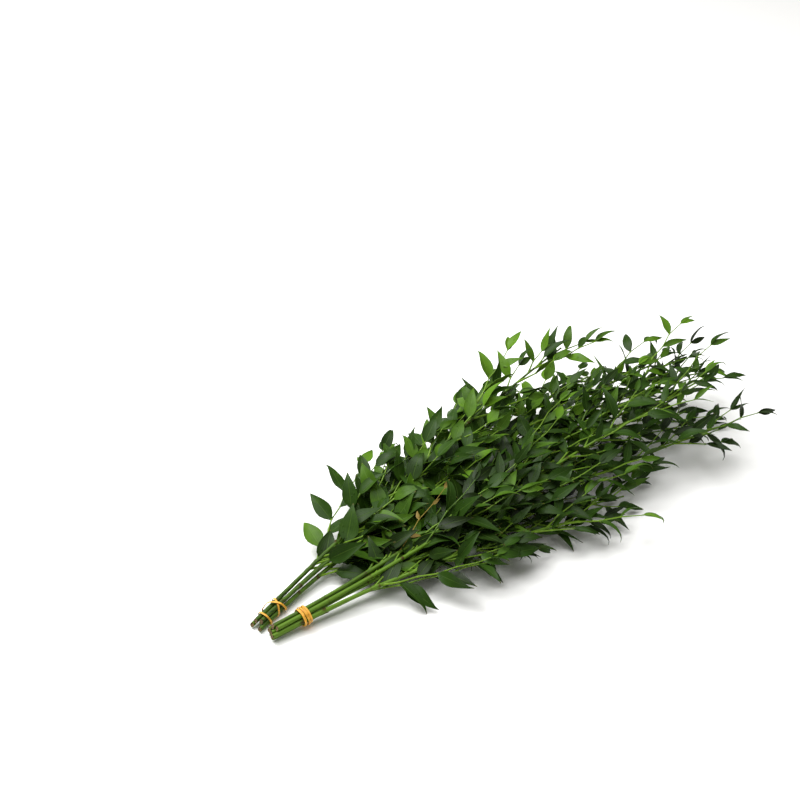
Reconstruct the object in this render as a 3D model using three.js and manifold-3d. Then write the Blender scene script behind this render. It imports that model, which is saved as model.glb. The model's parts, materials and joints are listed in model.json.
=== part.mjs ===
// A florist's bunch of butcher's broom, lying on its side: twelve cut canes in two sheaves, each sheaf
// gripped near its cut ends by a yellow elastic band. The canes fan out from the bands and carry leafy
// side shoots, and the lowest shoots lie on the surface.
//
// Units are millimetres. +X runs from the cut ends to the tips, +Y to the left and +Z up. The bunch lies
// on Z = 0, and the origin is the middle of its footprint.

import * as THREE from "three";
import { mergeVertices } from "three/addons/utils/BufferGeometryUtils.js";
import Module from "manifold-3d";

const wasm = await Module();
wasm.setup();

const UP = new THREE.Vector3(0, 0, 1);
const GAP = 0.3; // kept between pieces that touch
const FINENESS = 0.05; // detail smaller than this, left where solids are joined, is smoothed away
const radians = THREE.MathUtils.degToRad;

// Canes
const CANE_RADIUS = 2.4; // at the cut end
const CANE_TIP_RADIUS = 0.9;
const CANE_SIDES = 6;
const CANE_PITCH = 2 * CANE_RADIUS + GAP; // between neighbours side by side in a sheaf
const ROW_HEIGHT = CANE_PITCH * Math.sin(radians(60));
const CUT_SLANT = 0.5; // how far the cut end leans, as a share of the radius
const NODE_SWELL = 1.22; // a node's radius beside the cane's
const NODE_REACH = 3.5; // from the middle of a node to where it has died away
const CANE_RINGS = [0, 0.03, 0.09, 0.16, 0.23, 0.93, 1]; // shares of the cane's length, besides the nodes'
const STRAIGHT_SHARE = 0.34; // a cane keeps its sheaf's heading over this much of its reach
const ARCH = 16; // how far a cane's middle bows up
const CUT_UNEVENNESS = 9; // between the furthest and the nearest cut end

// Elastic bands
const BAND_WIDTH = 2.2;
const BAND_THICKNESS = 0.7;
const BAND_SLACK = 0.25; // room for the flats between its corners
const BAND_TURN_STEPS = 22;
const BAND_LAYER = 0.75; // half the height between the lower and the upper strand where they cross

// Side shoots
const SHOOT_RADIUS = 1.0; // at its root
const SHOOT_TIP_RADIUS = 0.6;
const SHOOT_SIDES = 4;
const SHOOT_STEPS = 4;
const SHOOT_KNEE = { along: 0.4, out: 0.19 }; // where it turns forward, as shares of its length from its root
const SHOOT_END = { along: 0.9, out: 0.28 };
const SHOOT_LENGTH = 150; // of the lowest shoot on a cane
const TOP_SHOOT_LENGTH = 95;
const SHOOT_LIFT = { low: radians(-5), high: radians(45) }; // how far up from level it leaves its cane
const BOTTOM_DROOP = radians(32); // how much lower a cane of the bottom row sends its shoots
const LAST_SHOOT = 0.88; // where it leaves the cane, as a share of the cane's length

// Leaves
const LEAF_LENGTH = 50;
const LEAF_WIDTH = 16;
const LEAF_THICKNESS = 0.9;
const LEAVES_PER_SHOOT = 5;
const LEAF_SPREAD = radians(42); // between a leaf and its shoot
const LEAF_TILT = radians(28); // most that a leaf leans to its left or right
const LEAF_RAISES = [0.1, 0.35, -0.15, 0.6, -0.4, 0.9]; // how steeply a leaf may point up, likeliest first
const LEAF_CLEARANCE = 0.8; // lowest height of a leaf's tip over the surface
const FIRST_LEAF = 0.2; // where a shoot's side leaves begin and end, as shares of its length
const LAST_LEAF = 0.9;
const END_LEAF = 0.985;

// The two sheaves: the middle of the cut ends, which way they point, and the place and the spread of the
// band's turns.
const LEFT = { y: 11, heading: radians(15), band: { at: 25, sway: 13, turns: 3, phase: 0.4 } };
const RIGHT = { y: -9, heading: radians(-5), band: { at: 41, sway: 3.6, turns: 5, phase: 2.2 } };
const CLIMB = radians(4); // a band lifts its sheaf off the surface

// Each cane's place in its sheaf, in pitches across from the middle and in rows up, where its tip lies, how
// far along it the first side shoot leaves it, as a share of its length, and how many shoots it has.
const CANES = [
  { sheaf: LEFT, across: -1, row: 0, reach: 555, aside: 34, height: 18, leafyFrom: 0.24, shoots: 4 },
  { sheaf: LEFT, across: 0, row: 0, reach: 520, aside: 82, height: 26, leafyFrom: 0.22, shoots: 4 },
  { sheaf: LEFT, across: 1, row: 0, reach: 410, aside: 112, height: 30, leafyFrom: 0.24, shoots: 4 },
  { sheaf: LEFT, across: -0.5, row: 1, reach: 550, aside: 24, height: 56, leafyFrom: 0.28, shoots: 4 },
  { sheaf: LEFT, across: 0.5, row: 1, reach: 475, aside: 72, height: 98, leafyFrom: 0.26, shoots: 4 },
  { sheaf: RIGHT, across: -0.5, row: 0, reach: 410, aside: -84, height: 12, leafyFrom: 0.24, shoots: 4 },
  { sheaf: RIGHT, across: 0.5, row: 0, reach: 570, aside: -24, height: 14, leafyFrom: 0.24, shoots: 4 },
  { sheaf: RIGHT, across: -1, row: 1, reach: 350, aside: -98, height: 24, leafyFrom: 0.32, shoots: 3 },
  { sheaf: RIGHT, across: 0, row: 1, reach: 560, aside: -86, height: 34, leafyFrom: 0.28, shoots: 4 },
  { sheaf: RIGHT, across: 1, row: 1, reach: 610, aside: 0, height: 42, leafyFrom: 0.32, shoots: 4 },
  { sheaf: RIGHT, across: -0.5, row: 2, reach: 580, aside: -46, height: 72, leafyFrom: 0.44, shoots: 3 },
  { sheaf: RIGHT, across: 0.5, row: 2, reach: 585, aside: 10, height: 62, leafyFrom: 0.34, shoots: 4 },
];

const caneBark = new THREE.MeshStandardMaterial({ color: 0x5c8a2e, roughness: 0.45, metalness: 0 });
const leafGreen = new THREE.MeshStandardMaterial({ color: 0x3d6b22, roughness: 0.4, metalness: 0 });
const elastic = new THREE.MeshStandardMaterial({ color: 0xd9a02e, roughness: 0.6, metalness: 0 });

// A repeatable number between low and high for each seed.
function vary(seed, low, high) {
  const wave = Math.sin(seed * 12.9898) * 43758.5453;
  return low + (high - low) * (wave - Math.floor(wave));
}

// Solids ----------------------------------------------------------------------------------------------

function solidOf(geometry) {
  const bare = new THREE.BufferGeometry().setAttribute("position", geometry.getAttribute("position"));
  const merged = mergeVertices(bare.setIndex(geometry.index), 1e-3);
  return new wasm.Manifold(
    new wasm.Mesh({
      numProp: 3,
      vertProperties: new Float32Array(merged.attributes.position.array),
      triVerts: new Uint32Array(merged.index.array),
    }),
  );
}

function geometryOf(solid) {
  const mesh = solid.getMesh();
  return new THREE.BufferGeometry()
    .setAttribute("position", new THREE.BufferAttribute(mesh.vertProperties, 3))
    .setIndex(new THREE.BufferAttribute(mesh.triVerts, 1));
}

// Moves each corner of geometry to where moved puts it.
function reshape(geometry, moved) {
  const position = geometry.getAttribute("position");
  const point = new THREE.Vector3();
  for (let k = 0; k < position.count; k++) {
    const { x, y, z } = moved(point.fromBufferAttribute(position, k));
    position.setXYZ(k, x, y, z);
  }
  return geometry;
}

// A round tube along path, with a ring at each share of its length in places: a cylinder bent to the path.
// slant leans its first ring, as a share of the radius.
function tube(path, places, radiusAt, sides, slant = 0) {
  const frames = places.map((place, ring) => {
    const centre = path.getPointAt(place);
    const along = path.getTangentAt(place);
    const side = new THREE.Vector3().crossVectors(UP, along).normalize();
    const rise = new THREE.Vector3().crossVectors(along, side).addScaledVector(along, ring ? 0 : slant);
    return { centre, side, rise, radius: radiusAt(place) };
  });
  const steps = places.length - 1;
  return reshape(new THREE.CylinderGeometry(1, 1, 1, sides, steps), ({ x, y, z }) => {
    const { centre, side, rise, radius } = frames[Math.round((y + 0.5) * steps)];
    return centre.clone().addScaledVector(side, z * radius).addScaledVector(rise, x * radius);
  });
}

const evenly = (steps) => Array.from({ length: steps + 1 }, (_, k) => k / steps);

// Canes -----------------------------------------------------------------------------------------------

const sheafAxis = ({ heading }) =>
  new THREE.Vector3(Math.cos(heading), Math.sin(heading), Math.tan(CLIMB)).normalize();

const sheafLeft = ({ heading }) => new THREE.Vector3(-Math.sin(heading), Math.cos(heading), 0);

function canePath({ sheaf, across, row, reach, aside, height }, number) {
  const axis = sheafAxis(sheaf);
  const cut = new THREE.Vector3(0, sheaf.y, CANE_RADIUS + row * ROW_HEIGHT)
    .addScaledVector(sheafLeft(sheaf), across * CANE_PITCH)
    .addScaledVector(axis, vary(number, 0, CUT_UNEVENNESS));
  const held = cut.clone().addScaledVector(axis, reach * STRAIGHT_SHARE);
  const tip = new THREE.Vector3(reach, aside, height);
  const bow = held.clone().lerp(tip, 0.5).addScaledVector(UP, ARCH);
  return new THREE.CubicBezierCurve3(cut, held, bow, tip);
}

const shootPlaces = ({ leafyFrom, shoots }) =>
  evenly(shoots - 1).map((share) => THREE.MathUtils.lerp(leafyFrom, LAST_SHOOT, share));

// A node is a swelling where a shoot leaves the cane. growth thickens the cane, for cutting other pieces
// clear of it.
function caneSkin(path, nodes, growth = 0) {
  const length = path.getLength();
  const swellings = nodes.flatMap((node) => [node - NODE_REACH / length, node, node + NODE_REACH / length]);
  const places = [...CANE_RINGS, ...swellings].sort((a, b) => a - b);
  const radiusAt = (place) => {
    const taper = THREE.MathUtils.lerp(CANE_RADIUS, CANE_TIP_RADIUS, place ** 1.2);
    return taper * (nodes.includes(place) ? NODE_SWELL : 1) + growth;
  };
  return tube(path, places, radiusAt, CANE_SIDES, CUT_SLANT);
}

// Elastic bands ---------------------------------------------------------------------------------------

// The point at a distance along a sheaf's axis on a cane's path.
function caneAt(path, origin, axis, distance) {
  let [low, high] = [0, 0.3];
  const point = new THREE.Vector3();
  for (let halving = 0; halving < 24; halving++) {
    const middle = (low + high) / 2;
    path.getPoint(middle, point);
    if (point.clone().sub(origin).dot(axis) < distance) low = middle;
    else high = middle;
  }
  return point;
}

// How far the taut outline round a sheaf's canes is from the sheaf's middle, in the direction turn.
function outline(centres, turn, left, rise) {
  let nearest = Infinity;
  for (let lean = -80; lean <= 80; lean += 4) {
    const facing = turn + radians(lean);
    const normal = left.clone().multiplyScalar(Math.cos(facing)).addScaledVector(rise, Math.sin(facing));
    const support = Math.max(...centres.map((centre) => centre.dot(normal))) + CANE_RADIUS;
    nearest = Math.min(nearest, support / Math.cos(radians(lean)));
  }
  return nearest;
}

// One closed elastic loop wound several times round its sheaf. Its turns sway along the sheaf and back, so
// the strands cross, and where they cross one lies over the other.
function bandSkin(sheaf, paths) {
  const { at, sway, turns, phase } = sheaf.band;
  const axis = sheafAxis(sheaf);
  const left = sheafLeft(sheaf);
  const rise = new THREE.Vector3().crossVectors(axis, left);
  const origin = new THREE.Vector3(0, sheaf.y, CANE_RADIUS);
  const steps = BAND_TURN_STEPS * turns;
  const centreline = Array.from({ length: steps }, (_, k) => {
    const share = (k / steps) * 2 * Math.PI;
    const distance = at + sway * Math.sin(share);
    const places = paths.map((path) => caneAt(path, origin, axis, distance));
    const sum = places.reduce((total, place) => total.add(place), new THREE.Vector3());
    const middle = sum.divideScalar(places.length);
    const turn = turns * share + phase;
    const taut = outline(places.map((place) => place.clone().sub(middle)), turn, left, rise);
    const radius = taut + GAP + BAND_SLACK + BAND_THICKNESS / 2 + BAND_LAYER * (1 + Math.cos(share));
    const outward = left.clone().multiplyScalar(Math.cos(turn)).addScaledVector(rise, Math.sin(turn));
    return { point: middle.addScaledVector(outward, radius), outward };
  });
  const frames = centreline.map(({ point, outward }, k) => {
    const before = centreline[(k + steps - 1) % steps].point;
    const after = centreline[(k + 1) % steps].point;
    const across = new THREE.Vector3().subVectors(before, after).cross(outward).normalize();
    return { point, outward, across };
  });
  return reshape(new THREE.TorusGeometry(2, 1, 4, steps), ({ x, y, z }) => {
    const share = Math.atan2(y, x) / (2 * Math.PI) + 1;
    const { point, outward, across } = frames[Math.round(share * steps) % steps];
    const out = Math.hypot(x, y) - 2;
    return point
      .clone()
      .addScaledVector(across, ((z - out) * BAND_WIDTH) / 2)
      .addScaledVector(outward, ((z + out) * BAND_THICKNESS) / 2);
  });
}

// Leafy shoots ----------------------------------------------------------------------------------------

// A shoot leaves its cane at a slant, then sweeps forward. roll turns it round the cane, from 0 for level to
// the left.
function shootPath(cane, place, roll, length) {
  const root = cane.getPointAt(place);
  const along = cane.getTangentAt(place);
  const left = new THREE.Vector3().crossVectors(UP, along).normalize();
  const rise = new THREE.Vector3().crossVectors(along, left);
  const out = left.multiplyScalar(Math.cos(roll)).addScaledVector(rise, Math.sin(roll));
  const [knee, end] = [SHOOT_KNEE, SHOOT_END].map((share) => {
    const point = root.clone().addScaledVector(along, length * share.along);
    point.addScaledVector(out, length * share.out);
    point.z = Math.max(point.z, 2 * SHOOT_RADIUS + LEAF_CLEARANCE);
    return point;
  });
  return new THREE.QuadraticBezierCurve3(root, knee, end);
}

// A leaf along +X with its foot at the origin and its face up: a pointed cone, pressed flat. growth thickens
// it, for trying how much room it needs.
function leafSkin(length, width, growth = 0) {
  const stations = [
    { along: 0, half: 0.5, droop: 0 },
    { along: 0.34, half: width / 2, droop: -0.03 },
    { along: 0.7, half: width / 3.4, droop: 0 },
    { along: 1, half: 0, droop: 0.08 },
  ];
  const steps = stations.length - 1;
  return reshape(new THREE.ConeGeometry(1, 1, 4, steps), ({ x, y, z }) => {
    const { along, half, droop } = stations[Math.round((y + 0.5) * steps)];
    const reach = Math.hypot(x, z) || 1;
    return new THREE.Vector3(
      along * length,
      (z / reach) * (half + growth),
      (x / reach) * (LEAF_THICKNESS / 2 + growth) - droop * length,
    );
  });
}

// Where a leaf sits: its foot on the shoot, pointing forward and to one side, face up with a little tilt. The
// last leaf carries on the way the shoot points. A leaf near the surface lies level on it.
function leafPlace(path, place, side, length, tilt, raise) {
  const foot = path.getPointAt(place);
  const along = path.getTangentAt(place);
  const left = new THREE.Vector3().crossVectors(UP, along).normalize();
  const pointing = along
    .multiplyScalar(Math.cos(LEAF_SPREAD * Math.abs(side)))
    .addScaledVector(left, side * Math.sin(LEAF_SPREAD))
    .addScaledVector(UP, raise);
  pointing.normalize();
  pointing.z = Math.max(pointing.z, (LEAF_CLEARANCE + LEAF_THICKNESS - foot.z) / length + 0.08);
  pointing.normalize();
  const room = Math.max(foot.z - LEAF_CLEARANCE, 0) / (LEAF_WIDTH / 2);
  const lean = THREE.MathUtils.clamp(tilt, -Math.atan(room), Math.atan(room));
  const across = new THREE.Vector3().crossVectors(UP, pointing).normalize();
  const face = new THREE.Vector3().crossVectors(pointing, across);
  return new THREE.Matrix4()
    .makeBasis(pointing, across, face)
    .multiply(new THREE.Matrix4().makeRotationX(lean))
    .setPosition(foot);
}

// The solids made so far, for finding room for the next one.
const standing = [];

function stand(solid) {
  standing.push({ solid, box: solid.boundingBox() });
}

function hasRoom(solid, ignored = null) {
  const { min, max } = solid.boundingBox();
  return standing.every(
    ({ solid: other, box }) =>
      other === ignored ||
      [0, 1, 2].some((k) => min[k] > box.max[k] || max[k] < box.min[k]) ||
      solid.intersect(other).isEmpty(),
  );
}

const twigSkin = (path, growth = 0) =>
  tube(
    path,
    evenly(SHOOT_STEPS),
    (place) => THREE.MathUtils.lerp(SHOOT_RADIUS, SHOOT_TIP_RADIUS, place) + growth,
    SHOOT_SIDES,
  );

// The first route at which the bare twig clears everything but its own cane: as near as can be to the wanted
// roll, and as long as it can be.
function roomyPath(cane, caneSolid, place, roll, length) {
  for (const share of [1, 0.8, 0.6]) {
    for (let turn = 0; turn <= 180; turn += 12) {
      for (const swing of [turn, -turn]) {
        const path = shootPath(cane, place, roll + radians(swing), length * share);
        if (hasRoom(solidOf(twigSkin(path, GAP)), caneSolid)) return path;
      }
    }
  }
  throw new Error("no room for a shoot at " + place);
}

// A shoot with its leaves, cut clear of its own cane. A leaf grows only where it touches nothing else.
function shootSolid(path, sleeve, seed) {
  let solid = solidOf(twigSkin(path)).subtract(sleeve);
  for (let k = 0; k <= LEAVES_PER_SHOOT; k++) {
    const last = k === LEAVES_PER_SHOOT;
    const place = last ? END_LEAF : THREE.MathUtils.lerp(FIRST_LEAF, LAST_LEAF, k / (LEAVES_PER_SHOOT - 1));
    const length = LEAF_LENGTH * vary(seed + k, 0.82, 1.08) * (last ? 0.9 : 1);
    const width = (LEAF_WIDTH * length) / LEAF_LENGTH;
    const side = last ? 0 : (k + seed) % 2 ? 1 : -1;
    const tilt = vary(seed + k * 7, -LEAF_TILT, LEAF_TILT);
    for (const raise of LEAF_RAISES) {
      const seat = leafPlace(path, place, side, length, tilt, raise);
      if (!hasRoom(solidOf(leafSkin(length, width, GAP).applyMatrix4(seat)))) continue;
      solid = solid.add(solidOf(leafSkin(length, width).applyMatrix4(seat)));
      break;
    }
  }
  return solid;
}

// The bunch -------------------------------------------------------------------------------------------

const bunch = new THREE.Group();

function addPiece(name, solid, material) {
  const piece = new THREE.Mesh(geometryOf(solid), material);
  piece.name = name;
  bunch.add(piece);
  stand(solid);
  return solid;
}

const number = (k) => String(k + 1).padStart(2, "0");
const paths = CANES.map(canePath);
const caneNodes = CANES.map(shootPlaces);
const caneSolids = paths.map((path, cane) =>
  addPiece(`stem_${number(cane)}`, solidOf(caneSkin(path, caneNodes[cane])), caneBark),
);

for (const [name, sheaf] of [
  ["elastic_band_left", LEFT],
  ["elastic_band_right", RIGHT],
]) {
  addPiece(name, solidOf(bandSkin(sheaf, paths.filter((_, cane) => CANES[cane].sheaf === sheaf))), elastic);
}

paths.forEach((path, cane) => {
  const sleeve = solidOf(caneSkin(path, caneNodes[cane], GAP));
  caneNodes[cane].forEach((place, k) => {
    const seed = cane * 31 + k * 5;
    const usual = THREE.MathUtils.lerp(SHOOT_LENGTH, TOP_SHOOT_LENGTH, k / (CANES[cane].shoots - 1));
    const length = usual * vary(seed, 0.9, 1.1);
    const droop = CANES[cane].row === 0 ? BOTTOM_DROOP : 0;
    const lift = vary(seed, SHOOT_LIFT.low, SHOOT_LIFT.high) - droop;
    const roll = (k + cane) % 2 ? Math.PI - lift : lift;
    const route = roomyPath(path, caneSolids[cane], place, roll, length);
    const shoot = shootSolid(route, sleeve, seed).simplify(FINENESS);
    addPiece(`leafy_shoot_${number(cane)}_${k + 1}`, shoot, leafGreen);
  });
});

// The origin goes to the middle of the footprint, at the height of the lowest point.
const box = new THREE.Box3().setFromObject(bunch);
const middle = box.getCenter(new THREE.Vector3());
bunch.position.set(-middle.x, -middle.y, -box.min.z);

export default bunch;
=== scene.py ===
"""A florist's bunch of butcher's broom lying on a pale floor: canes, leafy shoots and elastic bands.

The frame's canes, shoots and bands say where everything is. Each cane gets its joints and its cut end, and
each of the frame's shoots is replaced by a spray: that shoot with fine leaves, and the further shoots that
grow near it on the same cane.
"""

import json
import math
import random

import bmesh
import bpy
from mathutils import Matrix, Vector

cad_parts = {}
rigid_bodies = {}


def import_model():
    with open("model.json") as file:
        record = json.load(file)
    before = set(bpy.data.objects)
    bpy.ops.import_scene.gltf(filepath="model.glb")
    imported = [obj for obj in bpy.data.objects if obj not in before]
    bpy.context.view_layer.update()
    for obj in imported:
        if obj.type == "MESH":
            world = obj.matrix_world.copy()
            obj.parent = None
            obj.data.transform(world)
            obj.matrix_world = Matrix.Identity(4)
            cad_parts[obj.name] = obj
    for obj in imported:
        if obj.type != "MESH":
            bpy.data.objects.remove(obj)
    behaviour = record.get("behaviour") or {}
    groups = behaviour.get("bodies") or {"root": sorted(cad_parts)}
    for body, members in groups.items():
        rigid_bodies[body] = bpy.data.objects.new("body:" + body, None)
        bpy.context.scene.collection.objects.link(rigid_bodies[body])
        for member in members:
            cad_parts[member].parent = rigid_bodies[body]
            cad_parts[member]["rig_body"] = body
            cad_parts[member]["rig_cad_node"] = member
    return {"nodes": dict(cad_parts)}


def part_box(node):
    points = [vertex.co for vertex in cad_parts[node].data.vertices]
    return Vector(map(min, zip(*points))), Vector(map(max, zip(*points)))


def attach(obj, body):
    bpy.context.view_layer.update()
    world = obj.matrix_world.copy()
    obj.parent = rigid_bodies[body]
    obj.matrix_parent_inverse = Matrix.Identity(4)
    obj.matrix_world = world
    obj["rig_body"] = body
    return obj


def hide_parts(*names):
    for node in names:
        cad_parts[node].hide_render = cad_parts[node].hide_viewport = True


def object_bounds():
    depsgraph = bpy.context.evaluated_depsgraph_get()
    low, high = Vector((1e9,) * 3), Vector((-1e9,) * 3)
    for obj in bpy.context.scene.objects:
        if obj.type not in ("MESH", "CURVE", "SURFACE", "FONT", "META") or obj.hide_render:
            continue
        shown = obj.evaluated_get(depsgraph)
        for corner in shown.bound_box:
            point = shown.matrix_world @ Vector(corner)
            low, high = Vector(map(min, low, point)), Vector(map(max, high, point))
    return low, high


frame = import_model()
CAD_LOW, CAD_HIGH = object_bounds()
CAD_SIZE = CAD_HIGH - CAD_LOW
CAD_CENTRE = (CAD_LOW + CAD_HIGH) / 2

MM = 0.001
UP = Vector((0, 0, 1))

CANES = 12
LEFT_CANES = 5  # the first ones, which make the left sheaf
RING_GAP = 0.9 * MM  # corners of a cane further apart than this along X belong to different rings
CANE_SIDES = 2  # the curve's bevel resolution
CANE_RADIUS = 2.42 * MM  # of the thickest
CANE_STEPS = 40  # rings along a cane, besides those at its joints
CANE_TONE = {"left": (0.2, 0.5), "right": (0.3, 0.7)}  # least and most
CUT_SLANT = 0.5  # how far the cut end leans, as a share of the radius
CUT_RAGGED = 0.3  # how uneven it is, likewise
BARE_JOINTS = [36 * MM, 62 * MM]  # the joints below the lowest shoot, from the cut end

LEAF_LENGTH = 50 * MM
LEAF_WIDTH = 18 * MM
LEAF_STATIONS = 8  # strips along a leaf
LEAF_THICKNESS = 0.35 * MM
LEAF_SPACING = 21 * MM  # along a shoot
LEAF_SPREAD = math.radians(46)  # between a usual leaf and its shoot
LEAF_SPREAD_VARIES = math.radians(9)
LEAF_SIZES = (0.8, 1.1)  # of the smallest and the largest leaf beside a usual one's
LEAF_CLEARANCE = 0.3 * MM  # over the floor
LEAF_CEILING = CAD_HIGH.z + 7 * MM  # no leaf reaches higher
LEAF_BREADTH = (0.82, 1.1)  # of the narrowest and the broadest leaf beside a usual one's
LEAF_RAISED = {"left": 0.3, "right": 0.1}  # how far up a usual leaf points, beside 1 along its shoot
LEAF_RAISED_SPREAD = 0.32
LEAF_LEAN = math.radians(26)  # how far leaves lean to one side, as a spread
LEAF_TONE_SPREAD = 0.17
TIP_LEAF_ROOM = 40 * MM  # of a shoot's length, left for the leaf at its tip
TIP_LEAF_LOSS = 0.25  # how much smaller a shoot's last leaves are than its first

SHOOT_SIDES = 1  # the curve's bevel resolution
SHOOT_RADIUS = 1.0 * MM
SHOOT_TIP_RADIUS = 0.5 * MM
SHOOT_FLARE = 1.25  # its radius where it leaves the cane, beside SHOOT_RADIUS
SHOOT_TONE_SPREAD = 0.13
SHOOT_LIFTS = (-35, 70)  # degrees above level at which further shoots leave a cane, least and most
SHOOT_STEPS = 10  # straight pieces along a shoot's route
ZIGZAG = 1.1 * MM  # a shoot steps aside about this much at each leaf
ZIGZAG_RANGE = (0.6, 1.3)  # least and most, as a share of it
SHOOT_LENGTH = 150 * MM  # of the lowest on a cane
TOP_SHOOT_LENGTH = 90 * MM
SHOOT_LENGTHS = (0.7, 1.05)  # of the shortest and the longest further shoot beside a usual one's
SHOOT_BOWS = (0.02, 0.14)  # how far they curve aside, as a share of their length
SHOOT_PITCH = 11 * MM  # between one shoot and the next, low on a cane
TOP_SHOOT_PITCH = 19 * MM
TOP_SHOOT_PLACE = 0.97  # of a cane's length; no shoot grows beyond it
JOINT_EVERY = 3  # of the further shoots, one in so many leaves its cane at a joint that shows
LOWEST_SHOOT = {"left": 84 * MM, "right": 108 * MM}  # from the cut end
INWARD_SHOOTS = 165 * MM  # nearer the cut end than this, shoots hang low and point to the other sheaf
BROAD = {"left": 1.38, "right": 1.12}  # the width of the lowest leaves, as a share of LEAF_WIDTH
BROAD_LOSS = 0.38  # how much of that is gone at the tip of a cane
SIZE_LOSS = 0.22  # how much smaller the leaves are there
TONE = {"left": 0.64, "right": 0.44}  # of a usual leaf, from 0 for the deepest green to 1 for the brightest
PAINTED_SHADE_BY_HEIGHT = 0.42  # painted shade: how much deeper in tone the lowest leaves are painted than the highest, standing in for the shade low inside the bunch

WITHERED = "leafy_shoot_12_1"  # the spray that holds the one dried shoot
WITHERED_SHARE = 0.65  # its thickness beside a green one's
WITHERED_LOSS = 0.68  # how much smaller its leaves are
WITHERED_TONE = 0.6
WITHERED_PLACE = 45 * MM  # above the cane's lowest shoot
WITHERED_TURN = math.radians(62)
WITHERED_LENGTH = 130 * MM

CAMERA_AZIMUTH = math.radians(-40)
CAMERA_ELEVATION = math.radians(36)
CAMERA_DISTANCE = 2.173
CAMERA_SENSOR = 36  # mm
CAMERA_LENS = 86.1  # mm
AIM_ASIDE = 0.0304  # how far from the CAD's middle the camera looks, as a share of its length
AIM_BEYOND = 0.651  # and of its width
WORLD_STRENGTH = 0.34
FLOOR_REACH = 3.0
FLOOR_RIM = 1.2  # the rim's size beside the level part's
FLOOR_RIM_HEIGHT = 0.3

dice = random.Random(7)


# Meshes -------------------------------------------------------------------------------------------


def deselect_all():
    bpy.ops.object.select_all(action="DESELECT")


def activate(piece):
    deselect_all()
    piece.select_set(True)
    bpy.context.view_layer.objects.active = piece


def join(pieces, name):
    """Makes two or more pieces one."""
    activate(pieces[0])
    for piece in pieces:
        piece.select_set(True)
    bpy.ops.object.join()
    joined = bpy.context.active_object
    joined.name = joined.data.name = name
    return joined


def label_points(piece, name, values):
    """Gives a mesh one number per vertex, for its material to read."""
    attribute = piece.data.attributes.new(name, "FLOAT", "POINT")
    attribute.data.foreach_set("value", values)


def tube(name, points, radii, resolution, material):
    """A round tube through points, with a radius at each, made as a bevelled curve and turned into a mesh."""
    curve = bpy.data.curves.new(name, "CURVE")
    curve.dimensions = "3D"
    curve.bevel_depth = 1
    curve.bevel_resolution = resolution
    curve.use_fill_caps = True
    spline = curve.splines.new("POLY")
    spline.points.add(len(points) - 1)
    for knot, point, radius in zip(spline.points, points, radii):
        knot.co = (*point, 1)
        knot.radius = radius
    piece = bpy.data.objects.new(name, curve)
    bpy.context.scene.collection.objects.link(piece)
    activate(piece)
    bpy.ops.object.convert(target="MESH")
    piece = bpy.context.active_object
    piece.data.materials.clear()
    piece.data.materials.append(material)
    bpy.ops.object.shade_smooth_by_angle(angle=math.radians(50))
    return piece


# Shader maths -------------------------------------------------------------------------------------


class Value:
    """A number that changes over a surface: wraps a socket, and arithmetic on it adds Math nodes."""

    def __init__(self, material, socket):
        self.material = material
        self.socket = socket

    def math(self, operation, *others, swap=False):
        values = [self, *others]
        if swap:
            values.reverse()
        return self.material.value("ShaderNodeMath", {"operation": operation}, dict(enumerate(values)))

    def __add__(self, other):
        return self.math("ADD", other)

    __radd__ = __add__

    def __sub__(self, other):
        return self.math("SUBTRACT", other)

    def __rsub__(self, other):
        return self.math("SUBTRACT", other, swap=True)

    def __mul__(self, other):
        return self.math("MULTIPLY", other)

    __rmul__ = __mul__

    def __abs__(self):
        return self.math("ABSOLUTE")

    def sine(self):
        return self.math("SINE")

    def between(self, low, high):
        """0 where this is low or less and 1 where it is high or more, smooth between."""
        settings = {"interpolation_type": "SMOOTHSTEP"}
        sockets = {"Value": self, "From Min": low, "From Max": high}
        return self.material.value("ShaderNodeMapRange", settings, sockets)


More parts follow.
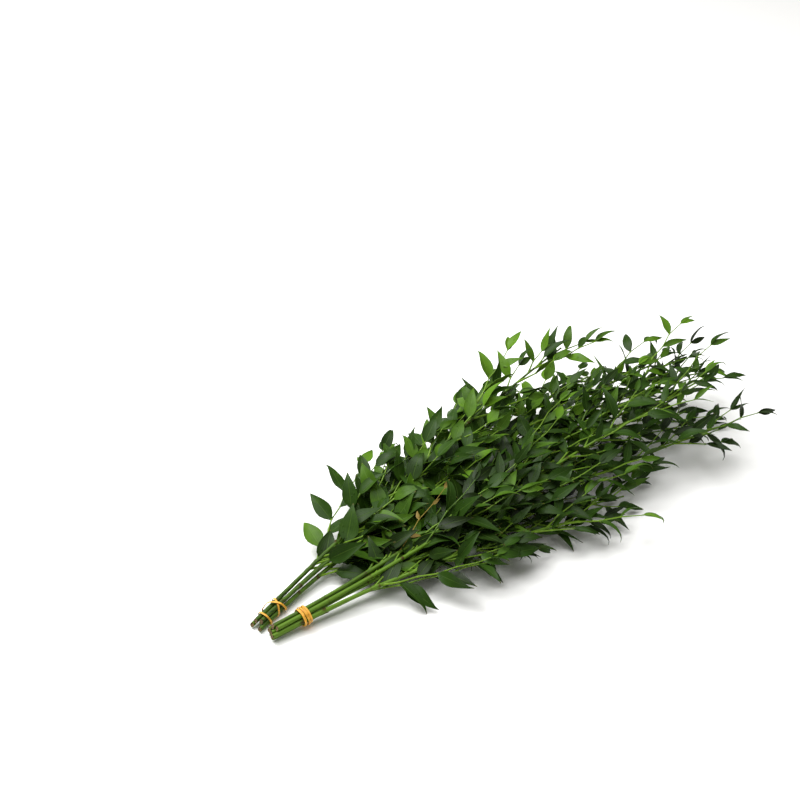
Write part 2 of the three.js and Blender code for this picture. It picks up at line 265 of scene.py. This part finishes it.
class Finish:
    """A material being made, with its nodes."""

    def __init__(self, name):
        self.made = bpy.data.materials.new(name)
        self.made.use_nodes = True
        self.tree = self.made.node_tree
        self.tree.nodes.clear()

    def node(self, kind, settings=None, sockets=None):
        node = self.tree.nodes.new(kind)
        for setting, value in (settings or {}).items():
            setattr(node, setting, value)
        for socket, value in (sockets or {}).items():
            if isinstance(value, Value):
                value = value.socket
            if isinstance(value, bpy.types.NodeSocket):
                self.tree.links.new(value, node.inputs[socket])
            else:
                node.inputs[socket].default_value = value
        return node

    def value(self, kind, settings=None, sockets=None, output=0):
        return Value(self, self.node(kind, settings, sockets).outputs[output])

    def place(self):
        return self.node("ShaderNodeTexCoord").outputs["Object"]

    def blade_place(self):
        """(across, along) on a leaf blade, each 0 to 1."""
        mapped = self.node("ShaderNodeUVMap", {"uv_map": "blade"}).outputs["UV"]
        parts = self.node("ShaderNodeSeparateXYZ", sockets={"Vector": mapped})
        return Value(self, parts.outputs["Y"]), Value(self, parts.outputs["X"])

    def attribute(self, name):
        return self.value("ShaderNodeAttribute", {"attribute_name": name}, output="Fac")

    def noise(self, size, detail=2.0, place=None):
        """Cloudy noise from 0 to 1, with features of about this size."""
        sockets = {"Vector": place or self.place(), "Scale": 1 / size, "Detail": detail}
        return self.value("ShaderNodeTexNoise", sockets=sockets)

    def spots(self, spacing):
        """The distance from the nearest of many scattered spots, as a share of their spacing."""
        sockets = {"Vector": self.place(), "Scale": 1 / spacing}
        return self.value("ShaderNodeTexVoronoi", sockets=sockets)

    def stretched(self, scale):
        return self.node("ShaderNodeMapping", sockets={"Vector": self.place(), "Scale": scale}).outputs[0]

    def mix(self, factor, first, second):
        """Two colours mixed. A Mix node's colours come after its sockets for numbers and vectors."""
        sockets = {0: factor, 6: first, 7: second}
        return self.node("ShaderNodeMix", {"data_type": "RGBA"}, sockets).outputs[2]

    def bump(self, height, depth):
        sockets = {"Height": height, "Distance": depth, "Strength": 1.0}
        return self.node("ShaderNodeBump", sockets=sockets).outputs["Normal"]

    def surface(self, colour, roughness, normal=None, glow=0.0, **constants):
        """Ends the material. glow is the share of the light that comes through from the other side."""
        sockets = {"Base Color": colour, "Roughness": roughness, **constants}
        if normal is not None:
            sockets["Normal"] = normal
        shader = self.node("ShaderNodeBsdfPrincipled", sockets=sockets).outputs[0]
        if glow:
            through = self.node("ShaderNodeBsdfTranslucent", sockets={"Color": colour}).outputs[0]
            shader = self.node("ShaderNodeMixShader", sockets={0: glow, 1: shader, 2: through}).outputs[0]
        self.node("ShaderNodeOutputMaterial", sockets={"Surface": shader})
        return self.made


def colour(red, green, blue):
    """A colour from its 0 to 255 display values."""
    linear = [((c / 255 + 0.055) / 1.055) ** 2.4 if c > 10 else c / 3294.6 for c in (red, green, blue)]
    return (*linear, 1)


def leaf_finish(name, deep, plain, bright, vein, roughness, glow):
    """A leaf blade, deep to bright by its tone, with lengthwise veins, a pale midrib and drops of water.

    Its tip is browned, and so is all of it where it is scarred.
    """
    finish = Finish(name)
    across, along = finish.blade_place()
    # a leaf's tone is partly its own random tone and partly painted shade, deeper low in the bunch
    tone = finish.attribute("tone")
    clouds = finish.noise(14 * MM, 3)
    body = finish.mix((tone + 0.35 * (clouds - 0.5)).between(0.0, 0.55), deep, plain)
    body = finish.mix((tone + 0.3 * (clouds - 0.5)).between(0.55, 1.0), body, bright)
    off_middle = abs(across - 0.5)
    midrib = 1 - off_middle.between(0.0, 0.035)
    veins = 9  # across the blade
    lines = (off_middle * (2 * math.pi * veins)).sine() * 0.5 + 0.5
    marked = finish.mix(0.07 * lines + 0.26 * midrib, body, vein)
    tip = (along + 0.04 * clouds).between(0.93, 1.03) * 0.5
    coloured = finish.mix(tip + finish.attribute("scar"), marked, colour(132, 112, 56))
    drop_spacing = 7 * MM
    drops = 1 - finish.spots(drop_spacing).between(0.1, 0.15)
    relief = finish.bump(lines * 0.15 + finish.noise(3 * MM) * 0.6 - midrib + drops * 3, 0.12 * MM)
    shine = roughness + 0.14 * clouds - 0.25 * drops
    return finish.surface(coloured, shine, relief, glow, **{"Specular IOR Level": 0.14})


def bark_finish(name, deep, plain, scar, stretch):
    """Green bark with streaks along it, dark flecks, and scars where its piece says so."""
    finish = Finish(name)
    streaks = finish.noise(2.2 * MM, 4, finish.stretched(stretch))
    flecks = finish.noise(1.3 * MM, 3).between(0.62, 0.72)
    body = finish.mix((streaks + finish.attribute("tone")).between(0.45, 1.15), deep, plain)
    scarred = (finish.attribute("scar") + 0.5 * (finish.noise(2 * MM) - 0.5)).between(0.3, 0.8)
    marked = finish.mix(flecks * 0.3 + scarred * 0.85, body, scar)
    relief = finish.bump(streaks + flecks * 0.4 + scarred, 0.25 * MM)
    shine = 0.4 + 0.2 * streaks + scarred * 0.3
    return finish.surface(marked, shine, relief, **{"Specular IOR Level": 0.2})


def cut_finish():
    """The cut end of a cane: dried pith, mottled from dark brown to tan."""
    finish = Finish("cut_end")
    grain = finish.noise(0.7 * MM, 4)
    body = finish.mix(grain.between(0.35, 0.65), colour(52, 36, 20), colour(128, 108, 66))
    return finish.surface(body, 0.85, finish.bump(grain, 0.4 * MM))


def elastic_finish():
    """Yellow elastic, slightly mottled, with a fine grain."""
    finish = Finish("yellow_elastic")
    clouds = finish.noise(4 * MM, 3)
    grain = finish.noise(0.5 * MM, 2)
    body = finish.mix(clouds.between(0.3, 0.7), colour(202, 144, 28), colour(236, 178, 62))
    constants = {"Subsurface Weight": 0.15, "Subsurface Scale": 1 * MM}
    return finish.surface(body, 0.48 + 0.15 * grain, finish.bump(grain, 0.08 * MM), **constants)


def floor_finish():
    """Plain, pale and very slightly uneven."""
    finish = Finish("pale_floor")
    clouds = finish.noise(0.6, 2)
    body = finish.mix(clouds, colour(249, 249, 248), colour(252, 252, 251))
    return finish.surface(body, 0.75 + 0.1 * clouds)


LEAF_TOP = leaf_finish(
    "leaf_top",
    deep=colour(14, 28, 3),
    plain=colour(35, 63, 9),
    bright=colour(88, 128, 24),
    vein=colour(96, 130, 42),
    roughness=0.36,
    glow=0.1,
)
LEAF_UNDERSIDE = leaf_finish(
    "leaf_underside",
    deep=colour(24, 42, 10),
    plain=colour(46, 72, 18),
    bright=colour(92, 126, 34),
    vein=colour(104, 134, 54),
    roughness=0.5,
    glow=0.1,
)
CANE_BARK = bark_finish(
    "cane_bark",
    deep=colour(30, 52, 8),
    plain=colour(86, 120, 26),
    scar=colour(58, 34, 16),
    stretch=(0.12, 1, 1),
)
SHOOT_BARK = bark_finish(
    "shoot_bark",
    deep=colour(50, 80, 14),
    plain=colour(104, 138, 36),
    scar=colour(140, 116, 54),
    stretch=(0.3, 1, 1),
)
CUT_END = cut_finish()
ELASTIC = elastic_finish()


# Leaves -------------------------------------------------------------------------------------------


def blade_width(along):
    """The width of a blade as a share of its widest, from its foot (0) to its tip (1).

    A short stalk opens into a blade that is widest at a third of its length and drawn out to a point.
    """
    stalk = 0.09
    if along < 0.06:
        return stalk
    swell = math.sin(math.pi * min(1, ((along - 0.05) / 0.95) ** 0.56)) ** 1.15
    return max(swell, stalk * (1 - along))


def select_points(mesh, chosen):
    """In edit mode, selects exactly the chosen vertices, by number."""
    points = bmesh.from_edit_mesh(mesh)
    points.verts.ensure_lookup_table()
    for vertex in points.verts:
        vertex.select_set(vertex.index in chosen)
    points.select_flush_mode()
    bmesh.update_edit_mesh(mesh)


def model_leaf(name, fold, bends, twist, ripple):
    """A leaf with its foot at the origin, along +X, its face up.

    A grid is narrowed row by row to the blade's outline and folded along its midrib, then bent down and
    twisted a little more at each row. ripple waves its margin.
    """
    bpy.ops.mesh.primitive_grid_add(x_subdivisions=LEAF_STATIONS, y_subdivisions=2, size=1)
    leaf = bpy.context.active_object
    leaf.name = name
    leaf.data.uv_layers[0].name = "blade"
    mesh = leaf.data
    rows = []
    for station in range(LEAF_STATIONS + 1):
        x = station / LEAF_STATIONS - 0.5
        rows.append([vertex.index for vertex in mesh.vertices if abs(vertex.co.x - x) < 0.01])
    margins = {vertex.index for vertex in mesh.vertices if abs(vertex.co.y) > 0.4}
    bpy.ops.object.mode_set(mode="EDIT")
    bpy.ops.mesh.select_all(action="SELECT")
    bpy.ops.transform.resize(value=(LEAF_LENGTH, LEAF_WIDTH, 1))
    bpy.ops.transform.translate(value=(LEAF_LENGTH / 2, 0, 0))
    step = LEAF_LENGTH / LEAF_STATIONS
    for station, row in enumerate(rows):
        width = blade_width(station / LEAF_STATIONS)
        select_points(mesh, row)
        bpy.ops.transform.resize(value=(1, width, 1), center_override=(station * step, 0, 0))
        lift = math.tan(fold) * width * LEAF_WIDTH / 2
        select_points(mesh, margins.intersection(row))
        bpy.ops.transform.translate(value=(0, 0, lift + ripple * math.sin(station * 2.1)))
    for station, bend in enumerate(bends, start=1):
        rest = [point for row in rows[station + 1 :] for point in row]
        select_points(mesh, rest)
        hinge = bmesh.from_edit_mesh(mesh).verts[rows[station][1]].co.copy()
        bpy.ops.transform.rotate(value=-bend, orient_axis="Y", center_override=hinge)
        bpy.ops.transform.rotate(value=twist / len(bends), orient_axis="X", center_override=hinge)
    bpy.ops.mesh.select_all(action="DESELECT")
    bpy.ops.object.mode_set(mode="OBJECT")
    mesh.materials.append(LEAF_TOP)
    mesh.materials.append(LEAF_UNDERSIDE)
    thicken = leaf.modifiers.new("thickness", "SOLIDIFY")
    thicken.thickness = LEAF_THICKNESS
    thicken.material_offset = 1
    thicken.use_rim = True
    bpy.ops.object.modifier_apply(modifier=thicken.name)
    bpy.ops.object.shade_smooth_by_angle(angle=math.radians(60))
    return leaf


def degrees(*angles):
    return [math.radians(angle) for angle in angles]


LEAVES = [
    model_leaf("leaf_plain", math.radians(12), degrees(2, 3, 3, 3, 3, 2, 0), 0.1, 0.2 * MM),
    model_leaf("leaf_arched", math.radians(8), degrees(3, 6, 8, 9, 9, 9, 8), -0.3, 0.4 * MM),
    model_leaf("leaf_folded", math.radians(26), degrees(0, 2, 2, 4, 6, 10, 12), 0.2, 0.1 * MM),
    model_leaf("leaf_lifted", math.radians(10), degrees(-4, -4, -3, 0, 4, 8, 10), 0.4, 0.4 * MM),
    model_leaf("leaf_twisted", math.radians(14), degrees(2, 3, 4, 4, 5, 5, 6), -1.0, 0.6 * MM),
    model_leaf("leaf_hooked", math.radians(18), degrees(2, 2, 4, 8, 16, 24, 28), 0.5, 0.3 * MM),
]


def leaf_turn(pointing, lean):
    """How a leaf is turned to point one way, face up, leaning to one side about its own length."""
    across = UP.cross(pointing).normalized()
    face = pointing.cross(across)
    basis = Matrix((pointing, across, face)).transposed().to_4x4()
    return basis @ Matrix.Rotation(lean, 4, "X")


def seat_leaf(foot, pointing, lean, size, tone, broad, wilt):
    """Puts a copy of one of the leaves at foot, raised or lowered to clear the floor and the ceiling.

    It is tried a few times, and the last try stands. wilt browns the leaf, from 0 to 1.
    """
    tries = 12
    raising = 0.09
    lowering = 0.12
    levelling = 0.75  # the share of its lean that a raised leaf keeps
    leaf = dice.choice(LEAVES).copy()
    leaf.data = leaf.data.copy()
    scale = Matrix.Diagonal((size, size * broad * dice.uniform(*LEAF_BREADTH), size, 1))
    for _ in range(tries):
        placed = Matrix.Translation(foot) @ leaf_turn(pointing.normalized(), lean) @ scale
        heights = [(placed @ vertex.co).z for vertex in leaf.data.vertices]
        if min(heights) < LEAF_CLEARANCE:
            pointing = pointing.normalized() + UP * raising
            lean *= levelling
        elif max(heights) > LEAF_CEILING:
            pointing = pointing.normalized() - UP * lowering
        else:
            break
    leaf.data.transform(placed)
    bpy.context.scene.collection.objects.link(leaf)
    # the tone label carries painted shade as well as the leaf's own tone
    label_points(leaf, "tone", [min(1, max(0, tone))] * len(leaf.data.vertices))
    label_points(leaf, "scar", [wilt] * len(leaf.data.vertices))
    return leaf


# Canes --------------------------------------------------------------------------------------------


def cane_rings(node):
    """The middle and radius of each ring of a cane in the frame, from its cut end to its tip."""
    corners = {tuple(round(c, 6) for c in vertex.co) for vertex in frame["nodes"][node].data.vertices}
    rings = []
    for corner in sorted(corners):
        if rings and corner[0] - rings[-1][-1][0] < RING_GAP:
            rings[-1].append(corner)
        else:
            rings.append([corner])
    measured = []
    for ring in rings:
        points = [Vector(corner) for corner in ring]
        middle = sum(points, Vector()) / len(points)
        measured.append((middle, max((point - middle).length for point in points)))
    return measured


class Cane:
    """A cane's centreline, for finding places along it."""

    def __init__(self, number):
        self.name = f"stem_{number:02d}"
        self.sheaf = "left" if number <= LEFT_CANES else "right"
        self.rings = cane_rings(self.name)
        self.reach = [0.0]
        for (before, _), (after, _) in zip(self.rings, self.rings[1:]):
            self.reach.append(self.reach[-1] + (after - before).length)
        self.length = self.reach[-1]

    def at(self, distance):
        """The point and the radius this far from the cut end."""
        distance = min(max(distance, 0), self.length)
        k = next(k for k, reach in enumerate(self.reach[1:]) if distance <= reach + 1e-9)
        share = (distance - self.reach[k]) / (self.reach[k + 1] - self.reach[k])
        (before, thick), (after, thin) = self.rings[k], self.rings[k + 1]
        return before.lerp(after, share), thick + (thin - thick) * share

    def heading(self, distance):
        return (self.at(distance + 8 * MM)[0] - self.at(distance - 8 * MM)[0]).normalized()


def cut_slant(piece, cane):
    """Leans a cane's first ring into a slanting, uneven cut, and gives the cut face its own finish."""
    start, radius = cane.at(0)
    forward = cane.heading(8 * MM)
    piece.data.materials.append(CUT_END)
    for vertex in piece.data.vertices:
        if (vertex.co - start).dot(forward) < 0.1 * MM:
            rise = (vertex.co - start).z / radius
            uneven = dice.uniform(-CUT_RAGGED, CUT_RAGGED)
            vertex.co += forward * radius * (CUT_SLANT * rise + uneven)
    for face in piece.data.polygons:
        face.material_index = 1 if face.normal.dot(forward) < -0.6 else 0


def model_cane(cane, joints, tone):
    """A cane with a slight ring and the stub of a brown scale at each joint, and a slanting cut."""
    offsets = (-1.8, -0.7, 0, 0.7, 1.8)  # of the rings at a joint, in mm
    joint_reach = 1.2 * MM
    stub_length = 1.1 * MM
    cut_browning = 5 * MM  # how far up from the cut end
    stops = {cane.length * step / CANE_STEPS for step in range(CANE_STEPS + 1)}
    stops.update(joint + offset * MM for joint in joints for offset in offsets)
    stops = sorted(stop for stop in stops if 0 <= stop <= cane.length)
    spots = [cane.at(stop) for stop in stops]
    swellings = [max(0, 1 - min(abs(stop - joint) for joint in joints) / joint_reach) for stop in stops]
    radii = [min(radius, CANE_RADIUS) * (0.97 + 0.09 * swell) for (_, radius), swell in zip(spots, swellings)]
    piece = tube("cane_" + cane.name, [spot for spot, _ in spots], radii, CANE_SIDES, CANE_BARK)
    around = len(piece.data.vertices) // len(spots)
    facings = {joint: dice.uniform(0, 2 * math.pi) for joint in joints}
    scars = []
    for k, vertex in enumerate(piece.data.vertices):
        ring = min(k // around, len(spots) - 1)
        middle, _ = spots[ring]
        out = (vertex.co - middle).normalized()
        joint = min(joints, key=lambda place: abs(place - stops[ring]))
        side = Vector((0, math.cos(facings[joint]), math.sin(facings[joint])))
        stub = swellings[ring] * max(0, out.dot(side) - 0.3)
        vertex.co += (out + cane.heading(stops[ring])) * stub * stub_length
        browned = max(0, 1 - stops[ring] / cut_browning)
        scars.append(0.55 * swellings[ring] + 1.2 * stub + 0.8 * browned)
    label_points(piece, "scar", scars)
    label_points(piece, "tone", [tone] * len(scars))
    cut_slant(piece, cane)
    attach(piece, "root")
    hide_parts(cane.name)


# Shoots -------------------------------------------------------------------------------------------


def corners_of(node):
    return [vertex.co for vertex in frame["nodes"][node].data.vertices]


def frame_shoot(cane, node):
    """Where a shoot of the frame leaves its cane, and its end: the corner furthest from there."""
    corners = corners_of(node)
    tried = 150  # places along the cane
    steps = [cane.length * step / tried for step in range(1, tried)]
    low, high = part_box(node)
    near = [step for step in steps if low.x - 4 * MM < cane.at(step)[0].x < high.x]
    root = min(near, key=lambda step: min((corner - cane.at(step)[0]).length for corner in corners[::5]))
    start = cane.at(root)[0]
    end = max(corners, key=lambda corner: (corner - start).length)
    return root, end


def shoot_route(cane, root, end, bow):
    """Points along a shoot: out of the cane at a slant, bowing aside, then on to its end."""
    start, _ = cane.at(root)
    along = cane.heading(root)
    reach = end - start
    aside = reach - along * reach.dot(along)
    if aside.length < 1 * MM:
        aside = UP.cross(along)
    knee_share = 0.42
    knee_height = 3 * MM  # at least
    knee = start + reach * knee_share + aside.normalized() * reach.length * bow
    knee.z = max(knee.z, knee_height)
    route = []
    for step in range(SHOOT_STEPS + 1):
        t = step / SHOOT_STEPS
        route.append(start * (1 - t) ** 2 + knee * (2 * t * (1 - t)) + end * t**2)
    return route


def along_route(route, share):
    """The point and the heading at a share of a route's steps."""
    place = min(max(share, 0), 1) * (len(route) - 1)
    k = min(int(place), len(route) - 2)
    return route[k].lerp(route[k + 1], place - k), (route[k + 1] - route[k]).normalized()


def grow_shoot(cane, root, end, tone, bow=0.08, wilt=0.0):
    """A zigzag shoot with a leaf at each bend and two at its tip. Returns its twig and its leaves.

    bow is how far it curves aside, as a share of its length. wilt is 1 for a dried shoot, 0 for a green one.
    """
    joint = ((-1.6, 1), (0, 1.5), (1.6, 1))  # places along it in mm, and the radius there beside the twig's
    route = shoot_route(cane, root, end, bow)
    length = sum((after - before).length for before, after in zip(route, route[1:]))
    stem_share = max(0.3, 1 - TIP_LEAF_ROOM / length)
    bends = max(2, round(length * stem_share / LEAF_SPACING))
    share_up = root / cane.length
    broad = BROAD[cane.sheaf] * (1 - BROAD_LOSS * share_up)
    usual_size = (1 - SIZE_LOSS * share_up) * (1 - WITHERED_LOSS * wilt)
    points = [route[0]]
    thickness = 1 - (1 - WITHERED_SHARE) * wilt
    radii = [SHOOT_RADIUS * SHOOT_FLARE * thickness]
    leaves = []
    turn = dice.choice((-1, 1))
    for bend in range(1, bends + 1):
        share = stem_share * bend / bends
        point, heading = along_route(route, share)
        side = UP.cross(heading).normalized() * turn
        radius = thickness * (SHOOT_RADIUS + (SHOOT_TIP_RADIUS - SHOOT_RADIUS) * bend / bends)
        knot = point + side * ZIGZAG * dice.uniform(*ZIGZAG_RANGE)
        for offset, swell in joint:
            points.append(knot + heading * offset * MM)
            radii.append(radius * swell)
        size = usual_size * dice.uniform(*LEAF_SIZES) * (1 - TIP_LEAF_LOSS * bend / bends)
        last = bend == bends
        spread = 0 if last else dice.gauss(LEAF_SPREAD, LEAF_SPREAD_VARIES)
        raised = dice.gauss(LEAF_RAISED[cane.sheaf], LEAF_RAISED_SPREAD)
        pointing = heading * math.cos(spread) + side * math.sin(spread) + UP * raised
        lean = dice.gauss(0, LEAF_LEAN)
        # painted shade: the lower a leaf sits, the deeper its tone, standing in for the shade inside the
        # bunch
        tone_with_painted_shade = tone + dice.gauss(0, LEAF_TONE_SPREAD) + PAINTED_SHADE_BY_HEIGHT * (knot.z / CAD_HIGH.z - 0.5)
        leaves.append(seat_leaf(knot, pointing, lean, size, tone_with_painted_shade, broad, wilt))
        if last:
            forked = heading + side * 0.5
            leaves.append(seat_leaf(knot, forked, -lean, size * 0.8, tone_with_painted_shade + 0.15, broad, wilt))
        turn = -turn
    twig = tube("twig", points, radii, SHOOT_SIDES, SHOOT_BARK)
    label_points(twig, "scar", [wilt] * len(twig.data.vertices))
    label_points(twig, "tone", [tone] * len(twig.data.vertices))
    return [twig, *leaves]


def extra_end(cane, root, turn, length):
    """Where a shoot of this length ends that leaves its cane at root, kept inside the CAD's box.

    turn is the angle round the cane: 0 is level to the left, a quarter turn up and a half turn level right.
    """
    along_share = 0.92
    out_share = 0.3
    start, _ = cane.at(root)
    along = cane.heading(root)
    left = UP.cross(along).normalized()
    out = left * math.cos(turn) + along.cross(left) * math.sin(turn)
    end = start + along * length * along_share + out * length * out_share
    margin = Vector((6, 6, 4)) * MM
    for axis in range(3):
        end[axis] = min(max(end[axis], CAD_LOW[axis] + margin[axis]), CAD_HIGH[axis] - margin[axis])
    return end


def further_shoots(cane, low, high, upper):
    """The shoots that the frame leaves out, between two places on a cane. Returns their parts and roots."""
    parts = []
    roots = []
    root = low + SHOOT_PITCH / 2
    while root < high:
        share_up = root / cane.length
        lift = math.radians(dice.uniform(*SHOOT_LIFTS))
        to_right = (len(roots) + upper) % 2
        if root < INWARD_SHOOTS:
            lift = -abs(lift) * 0.5
            to_right = cane.sheaf == "left"
        turn = math.pi - lift if to_right else lift
        usual = SHOOT_LENGTH + (TOP_SHOOT_LENGTH - SHOOT_LENGTH) * share_up
        end = extra_end(cane, root, turn, usual * dice.uniform(*SHOOT_LENGTHS))
        tone = dice.gauss(TONE[cane.sheaf], SHOOT_TONE_SPREAD)
        parts += grow_shoot(cane, root, end, tone, dice.uniform(*SHOOT_BOWS))
        roots.append(root)
        root += SHOOT_PITCH + (TOP_SHOOT_PITCH - SHOOT_PITCH) * share_up
    return parts, roots


def grow_cane(number):
    """A cane and its leafy shoots: the frame's own, and further ones around each."""
    cane = Cane(number)
    nodes = sorted(name for name in frame["nodes"] if name.startswith(f"leafy_shoot_{number:02d}_"))
    found = [frame_shoot(cane, node) for node in nodes]
    roots = [root for root, _ in found]
    lows = [LOWEST_SHOOT[cane.sheaf], *roots[1:]]
    highs = [*roots[1:], cane.length * TOP_SHOOT_PLACE]
    joints = [*BARE_JOINTS, *roots]
    for k, (node, (root, end)) in enumerate(zip(nodes, found)):
        parts = grow_shoot(cane, root, end, dice.gauss(TONE[cane.sheaf], SHOOT_TONE_SPREAD))
        more, places = further_shoots(cane, lows[k], highs[k], k + number)
        joints += places[::JOINT_EVERY]
        if node == WITHERED:
            place = lows[0] + WITHERED_PLACE
            end = extra_end(cane, place, WITHERED_TURN, WITHERED_LENGTH)
            more += grow_shoot(cane, place, end, WITHERED_TONE, bow=0.1, wilt=1.0)
        spray = join(parts + more, "spray_" + node)
        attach(spray, "root")
        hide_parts(node)
    model_cane(cane, joints, dice.uniform(*CANE_TONE[cane.sheaf]))


# Bands --------------------------------------------------------------------------------------------


def model_band(side):
    """An elastic band: a copy of the frame's winding, smoothed, without the frame's labels."""
    node = "elastic_band_" + side
    source = frame["nodes"][node]
    band = source.copy()
    band.data = source.data.copy()
    band.name = band.data.name = "band_" + side
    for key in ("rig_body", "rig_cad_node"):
        del band[key]
    band.parent = None
    bpy.context.scene.collection.objects.link(band)
    activate(band)
    bpy.ops.object.mode_set(mode="EDIT")
    bpy.ops.mesh.select_all(action="SELECT")
    bpy.ops.mesh.remove_doubles(threshold=0.01 * MM)
    bpy.ops.object.mode_set(mode="OBJECT")
    smooth = band.modifiers.new("smooth", "SUBSURF")
    smooth.levels = smooth.render_levels = 2
    bpy.ops.object.modifier_apply(modifier=smooth.name)
    bpy.ops.object.shade_smooth()
    band.data.materials.clear()
    band.data.materials.append(ELASTIC)
    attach(band, "root")
    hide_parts(node)


# The studio ---------------------------------------------------------------------------------------


def lay_floor():
    """A wide pale floor with a rim that slopes up all round."""
    bpy.ops.mesh.primitive_plane_add(size=2 * FLOOR_REACH, location=(0, 0, 0))
    floor = bpy.context.active_object
    floor.name = "floor"
    bpy.ops.object.mode_set(mode="EDIT")
    bpy.ops.mesh.extrude_region_move(TRANSFORM_OT_translate={"value": (0, 0, 0)})
    bpy.ops.transform.resize(value=(FLOOR_RIM, FLOOR_RIM, 1), center_override=(0, 0, 0))
    bpy.ops.transform.translate(value=(0, 0, FLOOR_RIM_HEIGHT))
    bpy.ops.mesh.delete(type="ONLY_FACE")
    bpy.ops.object.mode_set(mode="OBJECT")
    floor.data.materials.append(floor_finish())


def hang_light(name, place, aim, size, power):
    light = bpy.data.lights.new(name, "AREA")
    light.shape = "DISK"
    light.size = size
    light.energy = power
    lamp = bpy.data.objects.new(name, light)
    lamp.location = place
    lamp.rotation_euler = (aim - place).to_track_quat("-Z", "Y").to_euler()
    bpy.context.scene.collection.objects.link(lamp)


def light_studio():
    world = bpy.data.worlds.new("studio")
    world.use_nodes = True
    background = world.node_tree.nodes["Background"]
    background.inputs["Color"].default_value = colour(255, 253, 248)
    background.inputs["Strength"].default_value = WORLD_STRENGTH
    bpy.context.scene.world = world
    bpy.context.scene.view_settings.view_transform = "Standard"
    hang_light("overhead", place=Vector((-0.1, 0.2, 1.7)), aim=CAD_CENTRE, size=1.8, power=30)
    hang_light("key", place=Vector((-0.5, 1.1, 1.4)), aim=CAD_CENTRE, size=1.0, power=28)


def place_camera():
    """The camera stands to the front left of the cut ends and looks down along the bunch."""
    level = Vector((math.sin(CAMERA_AZIMUTH), -math.cos(CAMERA_AZIMUTH), 0))
    back = level * math.cos(CAMERA_ELEVATION) + UP * math.sin(CAMERA_ELEVATION)
    aim = CAD_CENTRE + Vector((AIM_ASIDE * CAD_SIZE.x, AIM_BEYOND * CAD_SIZE.y, -CAD_CENTRE.z))
    lens = bpy.data.cameras.new("camera")
    lens.sensor_width = CAMERA_SENSOR
    lens.lens = CAMERA_LENS
    camera = bpy.data.objects.new("camera", lens)
    camera.location = aim + back * CAMERA_DISTANCE
    camera.rotation_euler = (-back).to_track_quat("-Z", "Y").to_euler()
    bpy.context.scene.collection.objects.link(camera)
    bpy.context.scene.camera = camera


place_camera()
light_studio()
lay_floor()
for number in range(1, CANES + 1):
    grow_cane(number)
model_band("left")
model_band("right")
for master in LEAVES:
    bpy.data.objects.remove(master)
